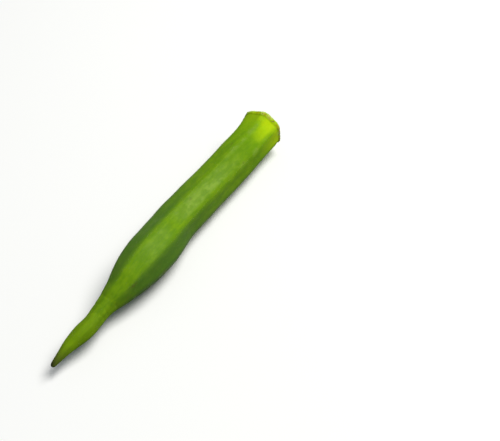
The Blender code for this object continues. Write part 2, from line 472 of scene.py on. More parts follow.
class NodeSheet:
    """Adds and links the nodes of one shader tree."""

    def __init__(self, tree: bpy.types.NodeTree) -> None:
        """Keeps the tree that the nodes go into."""
        self.tree = tree

    def add(self, kind: str, **settings: Any) -> bpy.types.Node:
        """Adds a node of Blender's named kind with its settings."""
        node = self.tree.nodes.new(kind)
        for name, value in settings.items():
            setattr(node, name, value)
        return node

    def feed(self, socket: Socket, value: Any) -> None:
        """Links a socket to another one, or sets it to a plain value."""
        if isinstance(value, Socket):
            self.tree.links.new(value, socket)
        elif isinstance(value, tuple) and len(value) == 3 and socket.type == "RGBA":
            socket.default_value = (*value, 1.0)
        else:
            socket.default_value = value

    def attribute(self, name: str, output: str = "Fac") -> Socket:
        """Value stored on the mesh under a name."""
        return self.add("ShaderNodeAttribute", attribute_name=name).outputs[output]

    def math(self, operation: str, first: Any, second: Any = 0.0, clamp: bool = False) -> Socket:
        """Result of one sum on two values."""
        node = self.add("ShaderNodeMath", operation=operation, use_clamp=clamp)
        self.feed(node.inputs[0], first)
        self.feed(node.inputs[1], second)
        return node.outputs[0]

    def times(self, first: Any, *others: Any) -> Socket:
        """Product of all values."""
        for other in others:
            first = self.math("MULTIPLY", first, other)
        return first

    def plus(self, first: Any, *others: Any) -> Socket:
        """Sum of all values."""
        for other in others:
            first = self.math("ADD", first, other)
        return first

    def swing(self, value: Any, width: float) -> Socket:
        """Value from 0 to 1 moved to a range round 0, as wide as given."""
        return self.times(self.math("SUBTRACT", value, 0.5), width)

    def stretched(self, place: Any, scale: tuple[float, float, float]) -> Socket:
        """Places scaled by their own amount along each axis."""
        node = self.add("ShaderNodeVectorMath", operation="MULTIPLY")
        self.feed(node.inputs[0], place)
        node.inputs[1].default_value = scale
        return node.outputs[0]

    def between(self, value: Any, low: float, high: float, to: Range = (0.0, 1.0)) -> Socket:
        """Value moved smoothly from the range low to high to another range, and held there outside it."""
        node = self.add("ShaderNodeMapRange", interpolation_type="SMOOTHSTEP")
        self.feed(node.inputs["Value"], value)
        for name, number in zip(("From Min", "From Max", "To Min", "To Max"), (low, high, *to)):
            node.inputs[name].default_value = number
        return node.outputs["Result"]

    def window(self, value: Any, start: Range, end: Range) -> Socket:
        """Share of a stretch of a value. Both ranges go from where the share is 0 to where it is 1."""
        return self.times(self.between(value, *start), self.between(value, *end))

    def noise(self, place: Any, scale: float, detail: float = 2.0, roughness: float = 0.5) -> Socket:
        """Cloudy noise from 0 to 1."""
        node = self.add("ShaderNodeTexNoise")
        self.feed(node.inputs["Vector"], place)
        for name, number in (("Scale", scale), ("Detail", detail), ("Roughness", roughness)):
            node.inputs[name].default_value = number
        return node.outputs["Fac"]

    def cells(self, place: Any, scale: float) -> tuple[Socket, Socket]:
        """Distance to the nearest of scattered points, and that point's own random number."""
        node = self.add("ShaderNodeTexVoronoi")
        self.feed(node.inputs["Vector"], place)
        node.inputs["Scale"].default_value = scale
        apart = self.add("ShaderNodeSeparateColor")
        self.feed(apart.inputs[0], node.outputs["Color"])
        return node.outputs["Distance"], apart.outputs[0]

    def mix(self, share: Any, first: Any, second: Any) -> Socket:
        """Colour between two colours."""
        node = self.add("ShaderNodeMix", data_type="RGBA")
        self.feed(node.inputs["Factor"], share)
        self.feed(node.inputs[MIX_FIRST], first)
        self.feed(node.inputs[MIX_SECOND], second)
        return node.outputs[MIX_RESULT]

    def colours(self, value: Any, stops: Stops, span: float = 1.0) -> Socket:
        """Colour read from stops along a value that runs from 0 to span."""
        node = self.add("ShaderNodeValToRGB")
        elements = node.color_ramp.elements
        while len(elements) < len(stops):
            elements.new(0.5)
        for element, (place, colour) in zip(elements, stops):
            element.position = place / span
            element.color = (*colour, 1.0)
        self.feed(node.inputs[0], self.math("DIVIDE", value, span))
        return node.outputs[0]

    def bump(self, height: Any, strength: float, distance: float) -> Socket:
        """Normal of a surface with a fine height over it."""
        node = self.add("ShaderNodeBump")
        node.inputs["Strength"].default_value = strength
        node.inputs["Distance"].default_value = distance
        self.feed(node.inputs["Height"], height)
        return node.outputs["Normal"]

    def group(self, tree: bpy.types.NodeTree, **inputs: Any) -> bpy.types.Node:
        """Places a shared group with its own values."""
        node = self.add("ShaderNodeGroup", node_tree=tree)
        for name, value in inputs.items():
            self.feed(node.inputs[name.replace("_", " ")], value)
        return node


def new_group(
    name: str, inputs: dict[str, str], outputs: Sequence[str]
) -> tuple[NodeSheet, bpy.types.Node, bpy.types.Node]:
    """Starts a shared node group.

    Args:
        name: the group's name.
        inputs: kind of socket for each input's name.
        outputs: names of the outputs, all plain numbers.

    Returns:
        The sheet to build on, the group's input node and its output node.
    """
    tree = bpy.data.node_groups.new(name, "ShaderNodeTree")
    for label, kind in inputs.items():
        tree.interface.new_socket(label, in_out="INPUT", socket_type=kind)
    for label in outputs:
        tree.interface.new_socket(label, in_out="OUTPUT", socket_type="NodeSocketFloat")
    sheet = NodeSheet(tree)
    return sheet, sheet.add("NodeGroupInput"), sheet.add("NodeGroupOutput")


def plant_grain() -> bpy.types.NodeTree:
    """Group for grown surfaces: streaks, mottling, pale dots and a fine height from places in millimetres."""
    found = bpy.data.node_groups.get("plant_grain")
    if found:
        return found
    outputs = ("Streaks", "Mottle", "Patches", "Clouds", "Dots", "Height")
    sheet, given, made = new_group("plant_grain", {"Place": "NodeSocketVector"}, outputs)
    place = given.outputs["Place"]

    def drawn_out(length: float, scale: float, detail: float, roughness: float) -> Socket:
        """Noise drawn out along the pod."""
        return sheet.noise(sheet.stretched(place, (1.0, 1.0, length)), scale, detail, roughness)

    streaks = sheet.between(drawn_out(0.14, 1.7, 4.0, 0.6), 0.36, 0.66)
    mottle = sheet.between(drawn_out(0.55, 1.25, 4.0, 0.62), 0.34, 0.68)
    patches = sheet.between(drawn_out(0.5, 0.42, 3.0, 0.55), 0.40, 0.62)
    clouds = sheet.between(drawn_out(0.4, 0.16, 2.0, 0.5), 0.36, 0.64)
    distance, own = sheet.cells(sheet.stretched(place, (1.0, 1.0, 0.8)), 1.15)
    dots = sheet.times(sheet.between(distance, 0.30, 0.10), sheet.between(own, 0.45, 0.75))
    pores, _ = sheet.cells(place, 4.2)
    fine = drawn_out(0.45, 3.4, 4.0, 0.65)
    parts = ((streaks, 0.35), (fine, 0.55), (pores, 0.30), (dots, 0.25))
    height = sheet.plus(*(sheet.times(part, share) for part, share in parts))
    for output, value in zip(outputs, (streaks, mottle, patches, clouds, dots, height)):
        sheet.feed(made.inputs[output], value)
    return sheet.tree


def bruises() -> bpy.types.NodeTree:
    """Group for small brown marks: where they are, from places in millimetres and how common they are."""
    found = bpy.data.node_groups.get("bruises")
    if found:
        return found
    inputs = {"Place": "NodeSocketVector", "Amount": "NodeSocketFloat"}
    sheet, given, made = new_group("bruises", inputs, ("Mark",))
    place = given.outputs["Place"]
    bent = sheet.add("ShaderNodeVectorMath", operation="MULTIPLY_ADD")
    wobble = sheet.add("ShaderNodeTexNoise")
    sheet.feed(wobble.inputs["Vector"], place)
    wobble.inputs["Scale"].default_value = 1.6
    sheet.feed(bent.inputs[0], wobble.outputs["Color"])
    bent.inputs[1].default_value = (1.0, 1.0, 2.4)
    sheet.feed(bent.inputs[2], sheet.stretched(place, (1.0, 1.0, 0.45)))
    distance, own = sheet.cells(bent.outputs[0], 0.42)
    chosen = sheet.between(sheet.plus(own, given.outputs["Amount"]), 0.94, 1.0)
    sheet.feed(made.inputs["Mark"], sheet.times(chosen, sheet.between(distance, 0.34, 0.12)))
    return sheet.tree


class SkinSheet(NodeSheet):
    """Sheet of the skin's shader, with the values stored on its mesh and the grain over it."""

    def __init__(self, tree: bpy.types.NodeTree) -> None:
        """Reads the stored values and places the grain."""
        super().__init__(tree)
        self.place = self.attribute(PLACE, "Vector")
        self.along = self.attribute(ALONG)
        self.crest = self.attribute(CREST)
        self.tone = self.attribute(PAINTED_LIGHT)
        self.painted_light_at_ring = self.attribute(PAINTED_LIGHT_AT_RING)
        self.grain = self.group(plant_grain(), Place=self.place).outputs
        self.shifted = self.plus(self.along, self.swing(self.grain["Clouds"], 2.2))


def new_material(name: str) -> tuple[bpy.types.Material, NodeSheet, bpy.types.Node]:
    """New material with its node sheet and its Principled shader."""
    material = bpy.data.materials.new(name)
    material.use_nodes = True
    return material, NodeSheet(material.node_tree), material.node_tree.nodes["Principled BSDF"]


# -------- Finishes --------


@dataclass(frozen=True)
class SkinFinish:
    """Green skin from the dark tip to the pale cap, with its streaks, veins, dots and brown ring, and with painted
    shade, painted sheen, painted highlights and a painted reflection by how each face is turned to the light.

    Places along the pod are in millimetres, from the tip or, where the name says so, from the ring or the stub.
    Where an effect ends, the place where it is gone comes before the one where it is still whole.
    """

    length_mm: float
    ring_mm: float
    stub_mm: float
    tip_black: Colour = (0.024, 0.022, 0.008)
    tip_brown: Colour = (0.064, 0.085, 0.008)
    beak: Colour = (0.168, 0.305, 0.001)
    waist: Colour = (0.122, 0.222, 0.001)
    neck: Colour = (0.110, 0.222, 0.001)
    low_body: Colour = (0.150, 0.298, 0.001)
    body: Colour = (0.143, 0.288, 0.002)
    deep: Colour = (0.083, 0.215, 0.004)
    pale: Colour = (0.255, 0.425, 0.005)
    # Painted reflection for the shoulder's crests
    crest_painted_reflection: Colour = (0.260, 0.410, 0.060)
    # Painted shade for the faces turned from the light, with a painted bluish reflection in it
    painted_shade: Colour = (0.048, 0.128, 0.018)
    # Painted sheen for the crests of the faces in painted shade
    painted_sheen: Colour = (0.125, 0.200, 0.085)
    # Painted highlight for the middle of the face turned to the light
    painted_highlight: Colour = (0.420, 0.620, 0.100)
    shoulder: Colour = (0.168, 0.345, 0.001)
    lime: Colour = (0.265, 0.500, 0.001)
    rim: Colour = (0.400, 0.610, 0.001)
    # Painted highlight for the faces turned to the light before the ring
    lime_painted_highlight: Colour = (0.600, 0.820, 0.001)
    edge: Colour = (0.600, 0.740, 0.150)
    cap: Colour = (0.470, 0.640, 0.050)
    stub: Colour = (0.330, 0.420, 0.100)
    ring_brown: Colour = (0.400, 0.215, 0.012)
    mark_brown: Colour = (0.110, 0.095, 0.015)
    clouds_start: Range = (12.0, 40.0)
    clouds_end_from_ring: Range = (-1.0, -26.0)
    cloud_share: float = 0.25
    wax_start: Range = (6.0, 30.0)
    wax_end_from_ring: Range = (-12.0, -40.0)
    wax_shares: Range = (0.08, 0.22)
    mottle_start: Range = (4.0, 30.0)
    mottle_share: float = 0.17
    plump_start: Range = (26.0, 40.0)
    plump_end: Range = (107.0, 61.0)
    painted_shade_share: float = 0.68
    painted_sheen_shares: Range = (0.25, 0.75)
    painted_highlight_start: Range = (63.0, 79.0)
    painted_highlight_end: Range = (115.0, 95.0)
    painted_highlight_shares: Range = (0.08, 0.22)
    flare_start_from_ring: Range = (-17.0, -3.5)
    flare_end_from_ring: Range = (0.2, -1.8)
    painted_lit_share: float = 0.55
    ring_painted_shade_share: float = 0.60
    reflection_start_from_ring: Range = (-46.0, -16.0)
    reflection_end_from_ring: Range = (-3.0, -10.0)
    crest_reflection_share: float = 0.36
    fold_shares: Curve = ((21.5, 0.30), (24.5, 0.22), (29.2, 0.34))
    vein_start: Range = (48.0, 83.0)
    vein_share: float = 0.28
    tip_vein_end: Range = (24.0, 6.0)
    tip_vein_share: float = 0.16
    dot_share: float = 0.16
    mark_amounts: Range = (0.01, 0.06)
    mark_share: float = 0.50
    line_from_ring: float = -0.40
    line_share: float = 0.60
    foot_from_stub: Range = (-0.4, 0.8)
    foot_share: float = 0.55
    roughness: float = 0.42
    beak_end: Range = (58.0, 34.0)
    rough_beak: float = 0.32
    rough_shoulder: float = 0.36

    def stops(self) -> Stops:
        """Colours along the pod, by distance in millimetres."""
        ring = self.ring_mm
        return (
            (0.0, self.tip_black),
            (1.8, self.tip_brown),
            (8.0, self.beak),
            (17.5, self.waist),
            (28.0, self.neck),
            (38.0, self.low_body),
            (52.0, self.body),
            (ring - 30.0, self.body),
            (ring - 14.0, self.shoulder),
            (ring - 7.0, self.lime),
            (ring - 3.0, self.rim),
            (ring - 0.6, self.rim),
            (ring + 0.2, self.edge),
            (ring + 2.4, self.cap),
            (self.stub_mm - 0.8, self.cap),
            (self.stub_mm + 0.6, self.stub),
        )

    def at_ring(self, offsets: Range) -> Range:
        """Places along the pod, given by their distances from the ring."""
        return self.ring_mm + offsets[0], self.ring_mm + offsets[1]

    def build(self) -> bpy.types.Material:
        """The material, which reads the values stored on the skin's mesh."""
        material, _, shader = new_material("okra_skin")
        sheet = SkinSheet(material.node_tree)
        colour = self.add_faces(sheet, self.ground(sheet))
        colour = self.add_lines(sheet, self.add_flare(sheet, colour))
        sheet.feed(shader.inputs["Base Color"], self.add_ring(sheet, colour))
        sheet.feed(shader.inputs["Roughness"], self.uneven_roughness(sheet))
        sheet.feed(shader.inputs["Normal"], sheet.bump(sheet.grain["Height"], 0.35, 0.00010))
        shader.inputs["Specular IOR Level"].default_value = 0.09
        shader.inputs["Subsurface Weight"].default_value = 0.10
        shader.inputs["Subsurface Radius"].default_value = (0.5, 1.0, 0.15)
        shader.inputs["Subsurface Scale"].default_value = 0.0012
        shader.inputs["Sheen Weight"].default_value = 0.02
        shader.inputs["Sheen Roughness"].default_value = 0.45
        shader.inputs["Sheen Tint"].default_value = (0.85, 1.0, 0.75, 1.0)
        return material

    def ground(self, sheet: SkinSheet) -> Socket:
        """Green along the pod, with clouds, waxy streaks and dark mottling."""
        grain = sheet.grain
        colour = sheet.colours(sheet.math("MAXIMUM", sheet.shifted, 0.0), self.stops(), self.length_mm)
        clouds = sheet.window(sheet.along, self.clouds_start, self.at_ring(self.clouds_end_from_ring))
        colour = sheet.mix(sheet.times(clouds, grain["Clouds"], self.cloud_share), colour, self.deep)
        wax = sheet.window(sheet.along, self.wax_start, self.at_ring(self.wax_end_from_ring))
        wax = sheet.between(wax, 0.0, 1.0, self.wax_shares)
        for pattern in ("Streaks", "Patches"):
            colour = sheet.mix(sheet.times(wax, grain[pattern]), colour, self.pale)
        mottle = sheet.plus(grain["Mottle"], sheet.math("SUBTRACT", 1.0, grain["Patches"]))
        mottle = sheet.times(sheet.between(sheet.along, *self.mottle_start), mottle, self.mottle_share)
        return sheet.mix(mottle, colour, self.deep)

    def add_faces(self, sheet: SkinSheet, colour: Socket) -> Socket:
        """Adds painted shade on the faces turned from the light along the plump part, a painted sheen on their
        crests and a painted highlight on the face turned to the light.
        """
        grain, crest, tone = sheet.grain, sheet.crest, sheet.tone
        plump = sheet.window(sheet.along, self.plump_start, self.plump_end)
        # Painted shade on the faces turned from the light
        painted_shade = sheet.times(plump, sheet.between(tone, 1.0, 0.0, (0.0, self.painted_shade_share)))
        colour = sheet.mix(painted_shade, colour, self.painted_shade)
        # Painted sheen on the crests of the faces in painted shade
        painted_sheen = sheet.times(plump, sheet.between(crest, 0.74, 1.0), sheet.between(tone, 0.36, 0.08))
        painted_sheen = sheet.times(painted_sheen, sheet.between(grain["Streaks"], 0.2, 0.8, self.painted_sheen_shares))
        colour = sheet.mix(painted_sheen, colour, self.painted_sheen)
        # Painted highlight down the middle of the face turned to the light
        painted_highlight = sheet.times(sheet.between(crest, 0.75, 0.15), sheet.between(tone, 0.5, 1.0))
        painted_highlight = sheet.times(painted_highlight, sheet.window(sheet.along, self.painted_highlight_start, self.painted_highlight_end))
        painted_highlight = sheet.times(painted_highlight, sheet.between(grain["Patches"], 0.0, 1.0, self.painted_highlight_shares))
        return sheet.mix(painted_highlight, colour, self.painted_highlight)

    def add_flare(self, sheet: SkinSheet, colour: Socket) -> Socket:
        """Adds a painted highlight on the faces turned to the light and painted shade on the others before the
        ring, and a painted reflection on the shoulder's crests.
        """
        flare = sheet.times(
            sheet.between(sheet.shifted, *self.at_ring(self.flare_start_from_ring)),
            sheet.between(sheet.along, *self.at_ring(self.flare_end_from_ring)),
        )
        # Painted highlight on the faces turned to the light before the ring
        painted_lit_mask = sheet.times(flare, sheet.between(sheet.crest, 1.00, 0.30), sheet.painted_light_at_ring, self.painted_lit_share)
        colour = sheet.mix(painted_lit_mask, colour, self.lime_painted_highlight)
        # Painted shade: faces turned from the light before the ring go back to the body's darker green
        ring_painted_shade = sheet.times(flare, sheet.between(sheet.painted_light_at_ring, 0.5, 0.0, (0.0, self.ring_painted_shade_share)))
        colour = sheet.mix(ring_painted_shade, colour, self.body)
        # Painted reflection along the shoulder's crests
        start, end = self.at_ring(self.reflection_start_from_ring), self.at_ring(self.reflection_end_from_ring)
        crest_painted_reflection = sheet.times(sheet.window(sheet.along, start, end), sheet.between(sheet.crest, 0.55, 0.95))
        uneven = sheet.between(sheet.noise(sheet.place, 0.16, 3.0), 0.44, 0.60)
        return sheet.mix(sheet.times(crest_painted_reflection, uneven, self.crest_reflection_share), colour, self.crest_painted_reflection)

    def add_lines(self, sheet: SkinSheet, colour: Socket) -> Socket:
        """Adds the pale creases of the waist, the veins on the crests, the pale dots and the brown marks."""
        grain, along, crest = sheet.grain, sheet.along, sheet.crest
        bent = sheet.plus(along, sheet.swing(grain["Patches"], 1.2))
        for place_mm, share in self.fold_shares:
            off_fold = sheet.math("ABSOLUTE", sheet.math("SUBTRACT", bent, place_mm))
            fold = sheet.times(sheet.between(off_fold, 0.55, 0.10), grain["Mottle"], share)
            colour = sheet.mix(fold, colour, self.pale)
        long_noise = sheet.noise(sheet.stretched(sheet.place, (1.0, 1.0, 0.3)), 0.9, 3.0)
        broken = sheet.between(long_noise, 0.38, 0.62, (0.25, 1.0))
        vein = sheet.times(sheet.between(crest, 0.86, 1.0), sheet.between(along, *self.vein_start), broken)
        colour = sheet.mix(sheet.times(vein, self.vein_share), colour, self.pale)
        tip_vein = sheet.times(sheet.between(crest, 0.70, 1.0), sheet.between(along, *self.tip_vein_end))
        colour = sheet.mix(sheet.times(tip_vein, self.tip_vein_share), colour, self.tip_brown)
        colour = sheet.mix(sheet.times(grain["Dots"], self.dot_share), colour, self.pale)
        common = sheet.between(crest, 0.6, 1.0, self.mark_amounts)
        marks = sheet.group(bruises(), Place=sheet.place, Amount=common).outputs[0]
        return sheet.mix(sheet.times(marks, self.mark_share), colour, self.mark_brown)

    def add_ring(self, sheet: SkinSheet, colour: Socket) -> Socket:
        """Adds the broken brown line along the ring and the brown foot of the stub."""
        wander = sheet.swing(sheet.noise(sheet.place, 0.7, 3.0), 0.9)
        off_line = sheet.math("SUBTRACT", sheet.plus(sheet.along, wander), self.ring_mm + self.line_from_ring)
        line = sheet.between(sheet.math("ABSOLUTE", off_line), 0.48, 0.12)
        gaps = sheet.between(sheet.noise(sheet.place, 0.22, 3.0, 0.6), 0.46, 0.58, (0.04, 1.0))
        colour = sheet.mix(sheet.times(line, gaps, self.line_share), colour, self.ring_brown)
        start, end = self.foot_from_stub
        foot = sheet.between(sheet.along, self.stub_mm + start, self.stub_mm + end)
        return sheet.mix(sheet.times(foot, sheet.grain["Mottle"], self.foot_share), colour, self.mark_brown)

    def uneven_roughness(self, sheet: SkinSheet) -> Socket:
        """Roughness with the grain in it, more of it on the beak and the shoulder than on the plump part."""
        grain = sheet.grain
        rough = sheet.plus(sheet.swing(grain["Streaks"], 0.12), sheet.times(grain["Mottle"], 0.10))
        rough = sheet.math("SUBTRACT", rough, sheet.times(grain["Patches"], 0.08))
        beak = sheet.between(sheet.along, *self.beak_end, (0.0, self.rough_beak))
        shoulder_start = self.at_ring(self.reflection_start_from_ring)
        shoulder = sheet.between(sheet.along, *shoulder_start, (0.0, self.rough_shoulder))
        return sheet.math("ADD", sheet.plus(rough, beak, shoulder), self.roughness, clamp=True)


@dataclass(frozen=True)
class CutFinish:
    """Moist pale cut through the stalk: a green rind, a ring of fibres and a soft core."""

    rind: Colour = (0.260, 0.360, 0.075)
    fibre: Colour = (0.640, 0.700, 0.330)
    core: Colour = (0.800, 0.840, 0.560)
    dry: Colour = (0.300, 0.200, 0.080)
    radius_mm: float = 3.2
    roughness: float = 0.55

    def build(self) -> bpy.types.Material:
        """The material, which reads the values stored on the cut's mesh."""
        material, sheet, shader = new_material("okra_stalk_cut")
        place = sheet.attribute(PLACE, "Vector")
        out = sheet.attribute(ALONG)
        grain = sheet.group(plant_grain(), Place=place).outputs
        wobble = sheet.swing(sheet.noise(place, 1.1, 3.0), 0.7)
        stops = ((0.0, self.core), (1.2, self.core), (1.9, self.fibre), (2.6, self.fibre), (3.0, self.rind))
        colour = sheet.colours(sheet.math("MAXIMUM", sheet.plus(out, wobble), 0.0), stops, self.radius_mm)
        distance, _ = sheet.cells(place, 2.6)
        vessels = sheet.times(sheet.window(out, (1.3, 1.8), (2.7, 2.3)), sheet.between(distance, 0.42, 0.16))
        colour = sheet.mix(sheet.times(vessels, 0.55), colour, self.rind)
        colour = sheet.mix(sheet.times(grain["Mottle"], 0.30), colour, self.fibre)
        marks = sheet.group(bruises(), Place=place, Amount=0.10).outputs[0]
        dried = sheet.math("ADD", sheet.times(sheet.between(out, 2.5, 3.2), 0.45), marks, clamp=True)
        colour = sheet.mix(sheet.times(dried, 0.60), colour, self.dry)
        sheet.feed(shader.inputs["Base Color"], colour)
        rough = sheet.math("ADD", sheet.times(grain["Mottle"], 0.20), self.roughness, clamp=True)
        sheet.feed(shader.inputs["Roughness"], rough)
        height = sheet.math("SUBTRACT", grain["Height"], sheet.times(vessels, 0.6))
        sheet.feed(shader.inputs["Normal"], sheet.bump(height, 0.7, 0.00016))
        shader.inputs["Subsurface Weight"].default_value = 0.15
        shader.inputs["Subsurface Radius"].default_value = (1.0, 1.0, 0.5)
        shader.inputs["Subsurface Scale"].default_value = 0.0012
        return material


@dataclass(frozen=True)
class ShredFinish:
    """Dry papery remains of the flower's foot."""

    light: Colour = (0.480, 0.340, 0.090)
    dark: Colour = (0.260, 0.150, 0.035)
    roughness: float = 0.75

    def build(self) -> bpy.types.Material:
        """The material, which reads the places stored on the shreds' mesh."""
        material, sheet, shader = new_material("okra_dry_shred")
        place = sheet.attribute(PLACE, "Vector")
        grain = sheet.group(plant_grain(), Place=place).outputs
        broad = sheet.between(sheet.noise(place, 0.35, 2.0), 0.35, 0.65)
        colour = sheet.mix(broad, self.light, self.dark)
        colour = sheet.mix(sheet.times(grain["Mottle"], 0.5), colour, self.dark)
        sheet.feed(shader.inputs["Base Color"], colour)
        rough = sheet.math("ADD", sheet.times(grain["Streaks"], 0.15), self.roughness, clamp=True)
        sheet.feed(shader.inputs["Roughness"], rough)
        sheet.feed(shader.inputs["Normal"], sheet.bump(grain["Height"], 0.6, 0.00010))
        return material


@dataclass(frozen=True)
class HairFinish:
    """Short stiff hairs, clear green at the foot and pale at the end."""

    foot: Colour = (0.200, 0.380, 0.040)
    end: Colour = (0.640, 0.700, 0.420)
    roughness: float = 0.45

    def build(self) -> bpy.types.Material:
        """The material, which reads the place along each hair stored on the mesh."""
        material, sheet, shader = new_material("okra_hair")
        up = sheet.attribute(ALONG)
        place = sheet.attribute(PLACE, "Vector")
        uneven = sheet.between(sheet.noise(place, 0.5, 2.0), 0.3, 0.7, (-0.2, 0.2))
        colour = sheet.mix(sheet.math("ADD", up, uneven, clamp=True), self.foot, self.end)
        sheet.feed(shader.inputs["Base Color"], colour)
        sheet.feed(shader.inputs["Roughness"], sheet.plus(sheet.times(up, 0.12), self.roughness))
        return material


@dataclass(frozen=True)
class FloorFinish:
    """Plain pale matt floor with a faint unevenness, which throws back less light than it shows."""

    colour: Colour = (0.98, 0.98, 0.98)
    shade: Colour = (0.96, 0.96, 0.96)
    thrown_back: Colour = (0.34, 0.34, 0.34)
    roughness: float = 0.9

    def build(self) -> bpy.types.Material:
        """The floor's material."""
        material, sheet, shader = new_material("pale_floor")
        where = sheet.add("ShaderNodeTexCoord").outputs["Object"]
        cloud = sheet.noise(where, 6.0, 2.0)
        seen = sheet.mix(cloud, self.colour, self.shade)
        looked_at = sheet.add("ShaderNodeLightPath").outputs["Is Camera Ray"]
        sheet.feed(shader.inputs["Base Color"], sheet.mix(looked_at, self.thrown_back, seen))
        shader.inputs["Roughness"].default_value = self.roughness
        shader.inputs["Specular IOR Level"].default_value = 0.1
        return material


# -------- Pieces --------


def make_piece(
    name: str,
    points: np.ndarray,
    faces: Sequence[Sequence[int]],
    material: bpy.types.Material,
    values: dict[str, np.ndarray],
) -> bpy.types.Object:
    """Makes a smooth-shaded mesh object that rides on the pod's body.

    Args:
        name: the piece's name.
        points: corner points, one row each.
        faces: corner numbers of each face.
        material: what the piece wears.
        values: numbers or places to store on the points, by name.

    Returns:
        The object, linked into the scene.
    """
    mesh = bpy.data.meshes.new(name)
    mesh.from_pydata(points.tolist(), [], [list(face) for face in faces])
    for label, stored in values.items():
        kind, key = ("FLOAT_VECTOR", "vector") if stored.ndim == 2 else ("FLOAT", "value")
        layer = mesh.attributes.new(label, kind, "POINT")
        layer.data.foreach_set(key, np.ascontiguousarray(stored, dtype=np.float32).ravel())
    mesh.validate()
    mesh.shade_smooth()
    mesh.materials.append(material)
    piece = bpy.data.objects.new(name, mesh)
    bpy.context.scene.collection.objects.link(piece)
    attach(piece, "root")
    log.info("%s: %d points, %d faces", name, len(mesh.vertices), len(mesh.polygons))
    return piece


@dataclass
class PodSkin:
    """The green skin from the tip to the lip of the cut, as one closed mesh."""

    form: PodForm
    relief: Relief
    columns_per_ridge: int = 28
    tip_shares: Sequence[float] = (0.015, 0.06, 0.13, 0.22, 0.34, 0.48, 0.64, 0.82)
    body_rows: int = 330
    ring_rows: int = 24
    cap_rows: int = 14
    foot_rows: int = 12
    ring_reach: float = 1.8
    foot_length: float = 0.0006
    lip_insets: Curve = (
        (-0.00030, 0.0),
        (-0.00021, 0.00001),
        (-0.00012, 0.00006),
        (-0.00005, 0.00014),
        (0.0, 0.00030),
        (-0.00004, 0.00050),
        (-0.00030, 0.00062),
        (-0.00060, 0.00070),
    )

    def rows(self) -> tuple[np.ndarray, np.ndarray]:
        """Distance from the tip of each row of points, and how far the row is drawn in."""
        form = self.form
        ring_start = form.body_length - form.ring_half_width
        ring_end = form.body_length + self.ring_reach * form.ring_half_width
        foot_start = form.cap_end - self.foot_length
        lip, insets = np.array(self.lip_insets).T
        ends = (form.tip_rounding, ring_start, ring_end, foot_start, form.length + lip[0])
        counts = (self.body_rows, self.ring_rows, self.cap_rows, self.foot_rows)
        plain = [form.tip_rounding * np.array(self.tip_shares)]
        for low, high, count in zip(ends, ends[1:], counts):
            plain.append(np.linspace(low, high, count, endpoint=False))
        rows = np.concatenate((*plain, form.length + lip))
        return rows, np.concatenate((np.zeros(len(rows) - len(lip)), insets))

    def build(self, finish: SkinFinish) -> bpy.types.Object:
        """Builds and dresses the skin.

        Args:
            finish: the skin's finish.

        Returns:
            The skin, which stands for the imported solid.
        """
        form = self.form
        rows, insets = self.rows()
        count = form.ridges * self.columns_per_ridge
        columns = np.arange(count) / self.columns_per_ridge
        at, around = np.meshgrid(rows, columns, indexing="ij")
        lift = self.relief.lift(at, around, form) - insets[:, None]
        points = form.skin(at, around, lift)
        radius = form.outline(form.ridge_radius(at), form.rounding(at), around) + lift
        grown = form.grown(at, around, radius)
        crest = 1.0 - 2 * np.abs(around % 1.0 - 0.5)
        ends = np.stack((form.centre(np.zeros(1))[0], points[-1].mean(0) - form.shift)) + form.shift
        all_points = np.concatenate((points.reshape(-1, 3), ends))
        all_points[:, 2] -= all_points[:, 2].min()
        end_grown = np.array(((0.0, 0.0, 0.0), (0.0, 0.0, form.length / MM)))
        values = {
            PLACE: np.concatenate((grown.reshape(-1, 3), end_grown)),
            ALONG: np.concatenate((at.ravel(), (0.0, form.length))) / MM,
            CREST: np.concatenate((crest.ravel(), (0.5, 0.5))),
        }
        # Each place's painted light, which the skin's shader turns into painted shade, sheen and highlights
        for label, of_faces in ((PAINTED_LIGHT, form.painted_light_of_faces), (PAINTED_LIGHT_AT_RING, form.painted_light_of_faces_at_ring)):
            values[label] = np.concatenate((form.face_painted_light(around, of_faces).ravel(), (0.5, 0.5)))
        piece = make_piece("pod_skin", all_points, self.faces(len(rows), count), finish.build(), values)
        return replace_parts(piece, POD_NODE)

    def faces(self, rows: int, count: int) -> Faces:
        """Faces of the grid, with a fan at each end."""
        here = np.arange(count)
        after = (here + 1) % count
        found: Faces = []
        for row in range(rows - 1):
            low, high = row * count, (row + 1) * count
            found += zip(low + here, high + here, high + after, low + after)
        tip, cut = rows * count, rows * count + 1
        last = (rows - 1) * count
        found += ((tip, i, j) for i, j in zip(here, after))
        found += ((cut, last + j, last + i) for i, j in zip(here, after))
        return [tuple(int(i) for i in face) for face in found]


